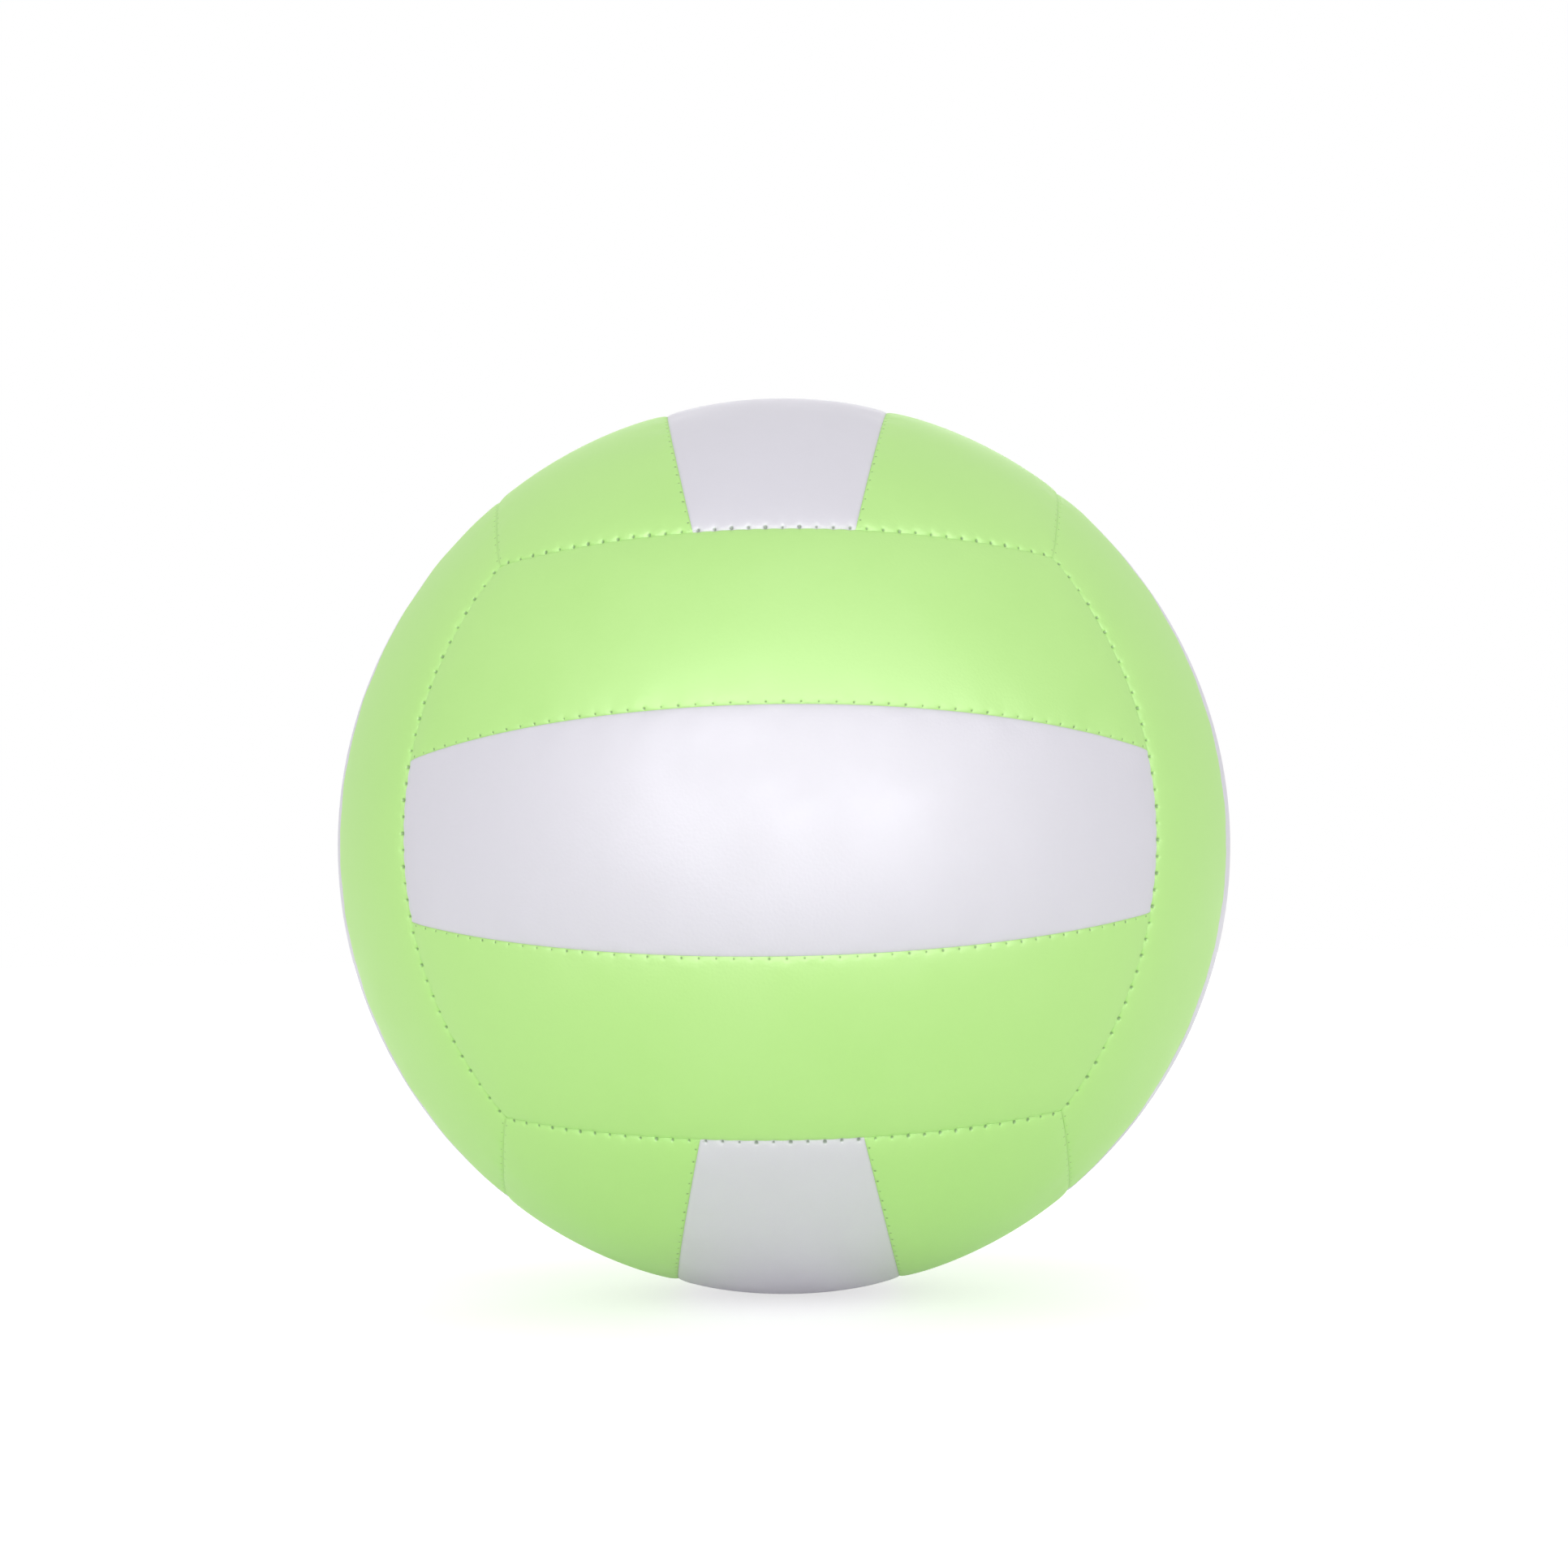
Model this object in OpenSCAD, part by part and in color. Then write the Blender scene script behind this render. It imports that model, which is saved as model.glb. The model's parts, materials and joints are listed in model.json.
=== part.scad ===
// A size 5 indoor volleyball: eighteen padded panels sewn over a lined bladder with a needle valve.
// Origin at the ball's centre, Z up, the valve on +Y. Each of the six faces has three strips,
// and the strips of one face run at a right angle to those of its neighbours.

/* [Ball] */
// Girth round the ball's middle
ball_girth = 660; // [620:5:700]

/* [Panel layout] */
// Angle at the ball's centre from the middle of a face to the middle of its long edge
edge_angle = 38.4; // [37:0.2:40]
// Angle at the ball's centre from the middle of a face to a seam of its middle strip
strip_angle = 14.3; // [13:0.1:15.5]
// Lean of a strip seam's axis, which narrows the middle strip towards its ends
strip_lean = 13; // [12:0.1:14]

/* [Cover] */
// Thickness of the outer skin
skin_t = 1; // [0.8:0.1:1.2]
// Thickness of the foam pad under the skin
foam_t = 3; // [2.8:0.1:3.6]
// Thickness of the woven lining between the cover and the bladder
lining_t = 0.4; // [0.3:0.1:0.8]
// Radius of a panel's rounded rim
rim_r = 2.4; // [2.1:0.1:2.6]
// Width of the slit between the two lips of a sewn seam
seam_gap = 0.4; // [0.2:0.1:0.6]

/* [Sewing] */
// Distance from stitch to stitch
stitch_pitch = 3.65; // [3.4:0.05:4.5]
// Depth of the needle holes' edge under the ball's face
stitch_depth = 2.4; // [2.3:0.05:2.7]
// Width of the waxed thread
thread_d = 0.5; // [0.4:0.05:0.6]
// Play between the thread and its needle hole, all round
thread_fit = 0.1; // [0.05:0.01:0.15]

/* [Bladder] */
// Thickness of the bladder's wall
bladder_t = 0.7; // [0.5:0.1:1.2]
// Gap between the bladder and what lies over it
bladder_fit = 0.05; // [0.02:0.01:0.2]

/* [Valve] */
// Diameter of the valve body where it shows in the panel
valve_d = 7.6; // [6.6:0.2:9]
// Depth of the valve's face under the ball's face
valve_sink = 0.3; // [0.2:0.1:0.6]
// Diameter of the flange bonded inside the bladder
flange_d = 24; // [18:1:30]
// Thickness of that flange
flange_t = 1.4; // [1:0.1:2]
// Diameter of the ring that stiffens the bladder round the valve
patch_d = 32; // [28:1:38]
// Diameter of the plug inside the valve body
plug_d = 4.6; // [4:0.1:5.2]
// Length of the plug
plug_l = 16; // [14:0.5:20]
// Wall that closes the valve body under the plug
tail_t = 1.2; // [0.8:0.1:2]
// Diameter of the channel that takes the pump's needle
needle_d = 2; // [1.8:0.1:2.2]
// Length of that channel
needle_l = 11; // [8:0.5:12]
// Width of the funnel at the channel's mouth
funnel_d = 3.2; // [2.8:0.1:3.6]
// Depth of the funnel
funnel_l = 0.8; // [0.5:0.1:1.2]
// Play round the valve in the cover and in the bladder
valve_fit = 0.1; // [0.05:0.01:0.2]
// Play round the plug in the valve body
plug_fit = 0.02; // [0.01:0.01:0.05]

/* [Hidden] */
// Each face: name, names of its strips, names of the faces along its long edges, and its turn
FACES = [
    ["front", ["upper", "middle", "lower"], ["top", "bottom"], [90, 0, 0]],
    ["back", ["upper", "middle", "lower"], ["top", "bottom"], [90, 0, 180]],
    ["top", ["left", "middle", "right"], ["left", "right"], [0, 0, 90]],
    ["bottom", ["left", "middle", "right"], ["left", "right"], [0, 180, 90]],
    ["left", ["front", "middle", "back"], ["front", "back"], [0, 90, 180]],
    ["right", ["front", "middle", "back"], ["front", "back"], [0, -90, 180]]
];
VALVE_FACE = "back";
MIDDLE = 1;

skin_green = [0.76, 0.95, 0.6];
skin_white = [0.95, 0.95, 0.97];
foam_grey = [0.8, 0.8, 0.78];
thread_green = [0.35, 0.42, 0.33];
cloth_cream = [0.88, 0.85, 0.76];
rubber_black = [0.12, 0.12, 0.13];

DEG = 180 / PI;
ball_r = ball_girth / (2 * PI);
// Each coordinate of the corner where three faces meet, on a ball of radius 1
corner_share = 1 / sqrt(3);
// A seam lies on a circle round an axis through the ball's centre. Its lean is how far that axis
// tips away from the face, and its latitude is how far the seam is from the axis's equator.
edge_lean = atan2(sin(edge_angle) - corner_share, cos(edge_angle) - corner_share);
edge_lat = edge_angle - edge_lean;
strip_lat = strip_angle - strip_lean;
// Half the seam's arc, as a turn about its axis
edge_half_arc = asin(corner_share / cos(edge_lat));
strip_half_arc = strip_reach();
// Where a strip seam runs into the edge seam, as a turn about the edge seam's axis
junction = asin((sin(strip_lat) * cos(strip_lean) + cos(strip_lat) * cos(strip_half_arc) * sin(strip_lean))
    / cos(edge_lat));

// A lip stands square to the ball's face. Along an edge seam it follows a ball centred on the axis.
lip_rise = ball_r / sin(edge_lat);
lip_r = ball_r / tan(edge_lat);
lip_d = skin_t + foam_t;
lip_half = seam_gap / 2 + skin_t;
foam_inset = skin_t + thread_d + thread_fit;
hole_d = thread_d + 2 * thread_fit;
run_offset = lip_half + thread_d / 2;
stitch_r = ball_r - stitch_depth - hole_d / 2;
overrun = skin_t;

// The rim's round is cut in steps at these angles from the face
RIM_ANGLES = [0, 30, 60, 80];
RIM_STEPS = len(RIM_ANGLES) - 1;

bladder_r = ball_r - lip_d - lining_t - bladder_fit;
valve_face = ball_r - valve_sink;
plug_bottom = valve_face - plug_l;
// The pump's needle enters through the funnel and stops at the channel's end
channel_top = valve_face - funnel_l;

$fn = 96;

function skin_name(f, s) = str(f[0], "_", f[1][s], "_panel");
function foam_name(f, s) = str(f[0], "_", f[1][s], "_foam");
function edge_name(f, e) = str(f[0], "_", f[2][e], "_seam_thread");
function strip_name(f) = str(f[0], "_strip_threads");

// Turn about a strip seam's axis at which the seam meets the edge seam across its end
function strip_reach() =
    let (a = cos(edge_lean) * cos(strip_lat) * cos(strip_lean),
         b = sin(edge_lean) * cos(strip_lat),
         c = sin(edge_lat) + cos(edge_lean) * sin(strip_lat) * sin(strip_lean))
    acos(c / norm([a, b])) - atan2(b, a);

// A seam: tilt and spin of its axis, latitude, the side of it on which the panel lies,
// whether it is an edge seam, half its arc, and where the panel starts and ends along it
function edge_seam(tilt, spin, side, from, to) = [tilt, spin, edge_lat, side, true, edge_half_arc, from, to];
function strip_seam(spin, side) =
    [90 + strip_lean, spin, strip_lat, side, false, strip_half_arc, -strip_half_arc, strip_half_arc];

OUTER_SEAMS = [
    edge_seam(90 + edge_lean, 90, -1, -edge_half_arc, edge_half_arc),
    strip_seam(90, 1),
    edge_seam(edge_lean, 180, 1, junction, edge_half_arc),
    edge_seam(edge_lean, 0, 1, -edge_half_arc, -junction)
];
MIDDLE_SEAMS = [
    strip_seam(90, -1),
    strip_seam(270, -1),
    edge_seam(edge_lean, 180, 1, -junction, junction),
    edge_seam(edge_lean, 0, 1, -junction, junction)
];
function seams_of(s) = s == MIDDLE ? MIDDLE_SEAMS : OUTER_SEAMS;

// A point of a seam's section, by its distance across the seam and its depth under the face
function section(lat, side, across, depth) =
    (ball_r - depth) * [cos(lat + side * across / ball_r * DEG), sin(lat + side * across / ball_r * DEG)];
function rim_point(lat, side, angle) =
    section(lat, side, seam_gap / 2 + rim_r * (1 - sin(angle)), rim_r * (1 - cos(angle)));
// Height on the axis of the centre of the ball through two points of the section
function centre_through(p, q) = (p * p - q * q) / (2 * (p[1] - q[1]));
// Where the stitches of a seam lie in its section, and the slope of the needle through an edge seam
function stitch_height(seam) =
    seam[4] ? (pow(stitch_r, 2) + pow(ball_r, 2)) / (2 * lip_rise) : ball_r * sin(seam[2]);
function stitch_reach(seam) = sqrt(pow(stitch_r, 2) - pow(stitch_height(seam), 2));
function stitch_slope(seam) = atan2(stitch_reach(seam), lip_rise - stitch_height(seam));
function stitch_step(seam) = stitch_pitch / (ball_r * cos(seam[2])) * DEG;
function stitch_count(seam) = floor(2 * seam[5] / stitch_step(seam));
function stitch_turn(seam, i) = (i - (stitch_count(seam) - 1) / 2) * stitch_step(seam);

// Stands the axis of a seam up. The middle of the seam then lies at a turn of 180 degrees.
module on_seam(seam) rotate([0, seam[0], seam[1]]) children();

// A ball with its poles on the face's Y axis, clear of every panel
module ball(r) rotate([90, 0, 0]) sphere(r);

// The space on one side of a strip seam
module strip_side(seam, inset) {
    h = ball_r * sin(seam[2]) + seam[3] * (seam_gap / 2 + inset);
    size = 4 * ball_r;
    translate([-size / 2, -size / 2, seam[3] > 0 ? h : h - size]) cube(size);
}

// The ball that an edge seam's lip follows
module lip_ball(side, inset) translate([0, 0, lip_rise]) sphere(lip_r - side * (seam_gap / 2 + inset));

// Keeps what lies on the panel's side of the first n seams
module between_lips(seams, inset, n) {
    if (n == 0) {
        children();
    } else {
        seam = seams[n - 1];
        if (seam[4] && seam[3] < 0) {
            difference() {
                between_lips(seams, inset, n - 1) children();
                on_seam(seam) lip_ball(-1, inset);
            }
        } else {
            intersection() {
                between_lips(seams, inset, n - 1) children();
                on_seam(seam) {
                    if (seam[4]) lip_ball(1, inset);
                    else strip_side(seam, inset);
                }
            }
        }
    }
}

// Rounds the rims of all seams, one step of one seam at a time. Each step follows a ball centred on
// the seam's axis, which the panel lies inside, or outside where the step is steeper than the axis.
module rimmed(seams, inset, n) {
    if (n == 0) {
        children();
    } else {
        seam = seams[(n - 1) % len(seams)];
        side = seam[3];
        step = floor((n - 1) / len(seams));
        p = rim_point(seam[2], side, RIM_ANGLES[step]);
        q = rim_point(seam[2], side, RIM_ANGLES[step + 1]);
        c = centre_through(p, q);
        if (c * side > 0) {
            intersection() {
                rimmed(seams, inset, n - 1) children();
                on_seam(seam) translate([0, 0, c]) sphere(norm(p - [0, c]) - inset);
            }
        } else {
            difference() {
                rimmed(seams, inset, n - 1) children();
                on_seam(seam) translate([0, 0, c]) sphere(norm(p - [0, c]) + inset);
            }
        }
    }
}

// A panel's solid, from a radius up to the face less an inset
module panel_solid(seams, low, inset, lip_inset) {
    difference() {
        rimmed(seams, inset, RIM_STEPS * len(seams))
            between_lips(seams, lip_inset, len(seams))
                ball(ball_r - inset);
        ball(low);
    }
}

// One stitch's pin through both lips. On an edge seam its axis runs through the centre of the lips' ball.
module stitch_pin(seam, turn, d) {
    if (seam[4])
        translate([0, 0, lip_rise])
            rotate([0, -stitch_slope(seam), 180 + turn])
                translate([0, 0, -lip_r]) pin(d);
    else
        rotate([0, 0, 180 + turn])
            translate([stitch_reach(seam), 0, stitch_height(seam)]) pin(d);
}

module pin(d) cylinder(d = d, h = 2 * run_offset, center = true, $fn = 24);

// Needle holes in the lips of one panel
module needle_holes(seams) {
    for (seam = seams)
        on_seam(seam)
            for (i = [0 : stitch_count(seam) - 1])
                let (turn = stitch_turn(seam, i))
                    if (turn > seam[6] - stitch_step(seam) && turn < seam[7] + stitch_step(seam))
                        stitch_pin(seam, turn, hole_d);
}

// The section of the thread that lies along one side of a seam's lips, grown by a fit
module run_section(seam, side, fit) {
    half = thread_d / 2 + fit;
    if (seam[4]) {
        offset = lip_r - side * run_offset;
        intersection() {
            ring(stitch_r + half, stitch_r - half);
            translate([0, lip_rise]) ring(offset + half, offset - half);
            translate([0, -lip_rise]) square(2 * lip_rise);
        }
    } else {
        translate([stitch_reach(seam) - half, stitch_height(seam) + side * run_offset - half]) square(2 * half);
    }
}

module ring(outer, inner) {
    difference() {
        circle(outer);
        circle(inner);
    }
}

// That thread, over an arc to each side of a turn about the seam's axis
module thread_run(seam, side, turn, arc, fit) {
    rotate([0, 0, 180 + turn - arc])
        rotate_extrude(angle = 2 * arc, $fn = 360) run_section(seam, side, fit);
}

// Passages in the lips beside a strip seam for the thread that runs along the edge seam
module run_passages(seams) {
    for (seam = seams)
        if (seam[4] && seam[3] > 0)
            on_seam(seam)
                for (turn = [-junction, junction])
                    thread_run(seam, 1, turn, (lip_half + skin_t) / stitch_reach(seam) * DEG, thread_fit);
}

module valve_hole(d) translate([0, 0, plug_bottom]) cylinder(d = d, h = plug_l + overrun + valve_sink);

module skin(s, has_valve) {
    seams = seams_of(s);
    color(s == MIDDLE ? skin_white : skin_green)
        rotate([0, 0, s > MIDDLE ? 180 : 0])
            difference() {
                panel_solid(seams, ball_r - lip_d, 0, 0);
                panel_solid(seams, ball_r - lip_d - overrun, skin_t, skin_t);
                needle_holes(seams);
                run_passages(seams);
                if (has_valve) valve_hole(valve_d + 2 * valve_fit);
            }
}

module foam(s, has_valve) {
    color(foam_grey)
        rotate([0, 0, s > MIDDLE ? 180 : 0])
            difference() {
                panel_solid(seams_of(s), ball_r - lip_d, skin_t, foam_inset);
                if (has_valve) valve_hole(valve_d + 2 * valve_fit);
            }
}

// A lock stitch: one thread along each side of the lips, and a pin of thread through every hole
module seam_thread(seam) {
    last = stitch_turn(seam, stitch_count(seam) - 1);
    end = thread_d / stitch_reach(seam) * DEG;
    color(thread_green)
        on_seam(seam) {
            for (side = [-1, 1]) thread_run(seam, side, 0, last + end, 0);
            for (i = [0 : stitch_count(seam) - 1])
                stitch_pin(seam, stitch_turn(seam, i), thread_d - thread_fit);
        }
}

module edge_thread(e) rotate([0, 0, 180 * e]) seam_thread(OUTER_SEAMS[0]);

module strip_threads() {
    for (spin = [0, 180]) rotate([0, 0, spin]) seam_thread(OUTER_SEAMS[1]);
}

// A hollow ball with a round opening on the face's outward axis
module shell(outer, inner, opening) {
    rotate_extrude()
        difference() {
            circle(outer);
            circle(inner);
            translate([-outer, -outer]) square([outer, 2 * outer]);
            square([opening / 2, outer + overrun]);
        }
}

module cloth_lining() color(cloth_cream) shell(ball_r - lip_d, ball_r - lip_d - lining_t, patch_d + 2 * valve_fit);

module bladder() color(rubber_black) shell(bladder_r, bladder_r - bladder_t, valve_d + 2 * valve_fit);

// The section of a layer of the ball round the valve's axis
module layer(outer, inner, d) {
    intersection() {
        difference() {
            circle(outer);
            circle(inner);
        }
        translate([0, inner / 2]) square([d / 2, outer]);
    }
}

module bladder_patch() {
    color(rubber_black)
        rotate_extrude()
            difference() {
                layer(ball_r - lip_d - bladder_fit, bladder_r, patch_d);
                square([valve_d / 2 + valve_fit, ball_r]);
            }
}

module valve_body() {
    flange_top = bladder_r - bladder_t;
    tail_bottom = plug_bottom - tail_t;
    color(rubber_black)
        rotate_extrude()
            difference() {
                union() {
                    layer(flange_top, flange_top - flange_t, flange_d);
                    translate([0, tail_bottom]) square([valve_d / 2, valve_face - tail_bottom]);
                }
                translate([0, plug_bottom]) square([plug_d / 2 + plug_fit, plug_l + overrun]);
            }
}

module valve_plug() {
    color(rubber_black)
        difference() {
            translate([0, 0, plug_bottom]) cylinder(d = plug_d, h = plug_l);
            translate([0, 0, channel_top - needle_l]) cylinder(d = needle_d, h = needle_l + plug_l);
            translate([0, 0, channel_top]) cylinder(d1 = needle_d, d2 = funnel_d, h = funnel_l);
        }
}

module at_valve() rotate(FACES[1][3]) children();

for (f = FACES) {
    for (s = [0 : 2]) {
        has_valve = f[0] == VALVE_FACE && s == MIDDLE;
        rotate(f[3]) skin(s, has_valve);
        rotate(f[3]) foam(s, has_valve);
    }
    for (e = [0, 1]) rotate(f[3]) edge_thread(e);
    rotate(f[3]) strip_threads();
}
at_valve() cloth_lining();
at_valve() bladder();
at_valve() bladder_patch();
at_valve() valve_body();
at_valve() valve_plug();
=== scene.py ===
"""Dresses the volleyball: padded panels, stitched seams, lining, bladder and needle valve."""

import json
import logging
import math
from collections.abc import Callable
from dataclasses import dataclass
from enum import Enum

import bpy
import numpy as np
from mathutils import Euler, Matrix, Vector

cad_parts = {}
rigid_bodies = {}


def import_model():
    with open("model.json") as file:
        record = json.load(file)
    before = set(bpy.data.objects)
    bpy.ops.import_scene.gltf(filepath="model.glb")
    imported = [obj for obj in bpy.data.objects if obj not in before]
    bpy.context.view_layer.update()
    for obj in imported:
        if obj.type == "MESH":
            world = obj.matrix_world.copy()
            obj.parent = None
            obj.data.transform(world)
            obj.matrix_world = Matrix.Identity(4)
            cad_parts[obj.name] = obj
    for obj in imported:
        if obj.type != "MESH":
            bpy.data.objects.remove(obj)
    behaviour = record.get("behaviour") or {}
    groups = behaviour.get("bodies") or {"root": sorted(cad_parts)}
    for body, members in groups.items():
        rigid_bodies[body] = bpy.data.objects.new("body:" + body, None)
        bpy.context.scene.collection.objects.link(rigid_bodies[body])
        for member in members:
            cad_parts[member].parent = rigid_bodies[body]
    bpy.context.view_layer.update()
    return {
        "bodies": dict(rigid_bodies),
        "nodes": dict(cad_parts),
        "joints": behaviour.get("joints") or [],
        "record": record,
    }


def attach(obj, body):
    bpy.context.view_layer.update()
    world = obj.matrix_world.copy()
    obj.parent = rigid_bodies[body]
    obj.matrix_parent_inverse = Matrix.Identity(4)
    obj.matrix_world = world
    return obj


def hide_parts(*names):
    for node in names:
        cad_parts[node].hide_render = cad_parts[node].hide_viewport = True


log = logging.getLogger("volleyball")

MM = 0.001
GIRTH = 660 * MM
BODY = "root"
VALVE_PANEL = "back_middle"
# Divided by a pattern's size in millimetres, this gives the pattern's scale.
PER_METRE = 1000.0
# Edges that bend by more than these angles are shaded sharp.
SKIN_CREASE = math.radians(50)
VALVE_CREASE = math.radians(40)
# Each coordinate of the unit point where three faces of the ball meet.
CORNER = 1 / math.sqrt(3)

Colour = tuple[float, float, float]
Section = list[tuple[float, float]]
Socket = bpy.types.NodeSocket


class Strip(Enum):
    """The place of a strip on its face."""

    FIRST = 0
    MIDDLE = 1
    LAST = 2


def turn_matrix(degrees: tuple[float, float, float]) -> np.ndarray:
    """Gives a rotation.

    Args:
        degrees: Turns about X, Y and Z, made in that order.

    Returns:
        A 3 by 3 matrix.
    """
    return np.array(Euler([math.radians(d) for d in degrees], "XYZ").to_matrix())


@dataclass(frozen=True)
class Face:
    """A square face of three strips. In its own frame X runs along them, Y across them and Z outwards."""

    name: str
    strips: tuple[str, str, str]
    # The faces along its first and its last strip
    neighbours: tuple[str, str]
    # Its turn about X, Y and Z
    degrees: tuple[float, float, float]
    # Whether the seams along its strips, or across their ends, run from front to back and lie shallower
    has_shallow_edges: bool = False
    has_shallow_ends: bool = False
    # Whether its rims roll over their seams, so that the holes show on the faces beside it
    is_rolled: bool = False

    def turned(self, is_last: bool = False) -> np.ndarray:
        """Returns its rotation. The last strip is made as a first one and turned half round."""
        turned = turn_matrix(self.degrees)
        return turned @ turn_matrix((0, 0, 180)) if is_last else turned


FACES = (
    Face("front", ("upper", "middle", "lower"), ("top", "bottom"), (90, 0, 0), is_rolled=True),
    Face("back", ("upper", "middle", "lower"), ("top", "bottom"), (90, 0, 180), is_rolled=True),
    Face("top", ("left", "middle", "right"), ("left", "right"), (0, 0, 90), has_shallow_edges=True),
    Face("bottom", ("left", "middle", "right"), ("left", "right"), (0, 180, 90), has_shallow_edges=True),
    Face("left", ("front", "middle", "back"), ("front", "back"), (0, 90, 180), has_shallow_ends=True),
    Face("right", ("front", "middle", "back"), ("front", "back"), (0, -90, 180), has_shallow_ends=True),
)


def select_only(piece: bpy.types.Object) -> None:
    """Makes one object the only selected and the active one."""
    bpy.ops.object.select_all(action="DESELECT")
    piece.select_set(True)
    bpy.context.view_layer.objects.active = piece


def points_of(mesh: bpy.types.Mesh) -> np.ndarray:
    """Returns a mesh's points as an array of N rows."""
    flat = np.empty(len(mesh.vertices) * 3, np.float32)
    mesh.vertices.foreach_get("co", flat)
    return flat.reshape(-1, 3).astype(float)


def set_points(mesh: bpy.types.Mesh, points: np.ndarray) -> None:
    """Writes N rows of points to a mesh."""
    mesh.vertices.foreach_set("co", points.astype(np.float32).ravel())
    mesh.update()


def set_mask(mesh: bpy.types.Mesh, name: str, values: np.ndarray) -> None:
    """Writes a number or three numbers per point to a mesh, for its material to read."""
    kind, field = ("FLOAT", "value") if values.ndim == 1 else ("FLOAT_VECTOR", "vector")
    mask = mesh.attributes.new(name, kind, "POINT")
    mask.data.foreach_set(field, values.astype(np.float32).ravel())


def apply_modifier(piece: bpy.types.Object, kind: str, **settings: object) -> None:
    """Adds a modifier with its settings and applies it.

    Args:
        piece: The object to change.
        kind: Blender's type of the modifier.
        **settings: Values of the modifier's properties.
    """
    select_only(piece)
    modifier = piece.modifiers.new(kind.lower(), kind)
    for name, value in settings.items():
        setattr(modifier, name, value)
    bpy.ops.object.modifier_apply(modifier=modifier.name)


def new_piece(name: str, points: list, edges: list, faces: list) -> bpy.types.Object:
    """Makes a piece and selects it alone.

    Args:
        name: The piece's name.
        points: Its points.
        edges: Pairs of points, where it has no faces yet.
        faces: The points of each face.

    Returns:
        The new piece.
    """
    mesh = bpy.data.meshes.new(name)
    mesh.from_pydata(points, edges, faces)
    piece = bpy.data.objects.new(name, mesh)
    bpy.context.scene.collection.objects.link(piece)
    select_only(piece)
    return piece


def dress(piece: bpy.types.Object, material: bpy.types.Material) -> None:
    """Gives a piece, or a solid of the frame, its finish."""
    piece.data.materials.clear()
    piece.data.materials.append(material)


def hand_over(piece: bpy.types.Object, slot: str, material: bpy.types.Material, *nodes: str) -> None:
    """Gives a piece its finish, hangs it on the ball's body and hides the solids that it replaces.

    Args:
        piece: The finished piece.
        slot: The material slot of the record. It is not used.
        material: Its finish.
        *nodes: The solids that it replaces.
    """
    dress(piece, material)
    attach(piece, BODY)
    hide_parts(*nodes)
    log.info("%s: %d points, for %s", piece.name, len(piece.data.vertices), ", ".join(nodes))


@dataclass(frozen=True)
class Seam:
    """A seam in a face's frame: a circle round an axis through the ball's centre."""

    frame: np.ndarray
    latitude: float
    side: int
    radius: float
    half_arc: float
    pitch: float
    pull: float
    sink: float
    # How far the holes reach past the last stitch, in stitches
    hole_end: float = 0.3
    # A stitch's share of the pull, how much it varies, and the number that scatters it
    pull_mean: float = 0.85
    pull_spread: float = 0.3
    pull_scatter: float = 3.7
    # The share of its depth that the seam loses at its ends, and how late it loses it
    end_loss: float = 0.5
    end_power: int = 4

    @property
    def axis(self) -> np.ndarray:
        """The axis that the seam lies round."""
        return self.frame[:, 2]

    @property
    def step(self) -> float:
        """The turn about the axis from stitch to stitch."""
        return self.pitch / (self.radius * math.cos(self.latitude))

    @property
    def places(self) -> np.ndarray:
        """The number of each stitch, counted from the middle of the seam."""
        count = math.floor(2 * self.half_arc / self.step)
        return np.arange(count) - (count - 1) / 2

    @property
    def turns(self) -> np.ndarray:
        """The turn of each stitch."""
        return self.places * self.step

    @property
    def pulls(self) -> np.ndarray:
        """How tight each stitch is."""
        scatter = np.sin(self.pull_scatter * self.places**2 + 1)
        return self.pull * (self.pull_mean + self.pull_spread * scatter)

    def latitude_of(self, points: np.ndarray) -> np.ndarray:
        """Returns the latitude of unit points about the seam's axis."""
        return np.arcsin(np.clip(points @ self.axis, -1, 1))

    def distance(self, points: np.ndarray) -> np.ndarray:
        """Returns how far unit points lie from the seam, on the panel's side."""
        return self.side * (self.latitude_of(points) - self.latitude) * self.radius

    def sink_at(self, points: np.ndarray) -> np.ndarray:
        """Returns how far the seam sinks beside each unit point, less towards the seam's ends."""
        share = np.clip(np.abs(points @ self.frame[:, 1]) / math.sin(self.half_arc), 0, 1)
        return self.sink * (1 - self.end_loss * share**self.end_power)

    def counts_at(self, points: np.ndarray) -> np.ndarray:
        """Counts the stitches along the seam up to each unit point, from 0 at the first stitch."""
        local = points @ self.frame
        return np.arctan2(-local[:, 1], -local[:, 0]) / self.step - self.places[0]

    def nearest_stitch(self, counts: np.ndarray) -> tuple[np.ndarray, np.ndarray]:
        """Finds the stitch next to each count.

        Args:
            counts: Places along the seam, counted in stitches.

        Returns:
            The distance along the seam to that stitch, and how tight it is.
        """
        index = np.clip(np.round(counts), 0, len(self.places) - 1).astype(int)
        return np.abs(counts - index) * self.pitch, self.pulls[index]

    def hole_sizes(self, counts: np.ndarray) -> np.ndarray:
        """Returns how large the needle's holes are at each count: none beyond the last stitch."""
        beyond = np.maximum(-counts, counts - len(self.places) + 1)
        return self.pull * (beyond < self.hole_end)

    def place(self, turn: float, across: float, radius: float) -> np.ndarray:
        """Gives a point by its turn along the seam, its distance across it and its radius."""
        latitude = self.latitude + across / self.radius
        back = -math.cos(latitude)
        local = (back * math.cos(turn), back * math.sin(turn), math.sin(latitude))
        return self.frame @ (radius * np.array(local))


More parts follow.
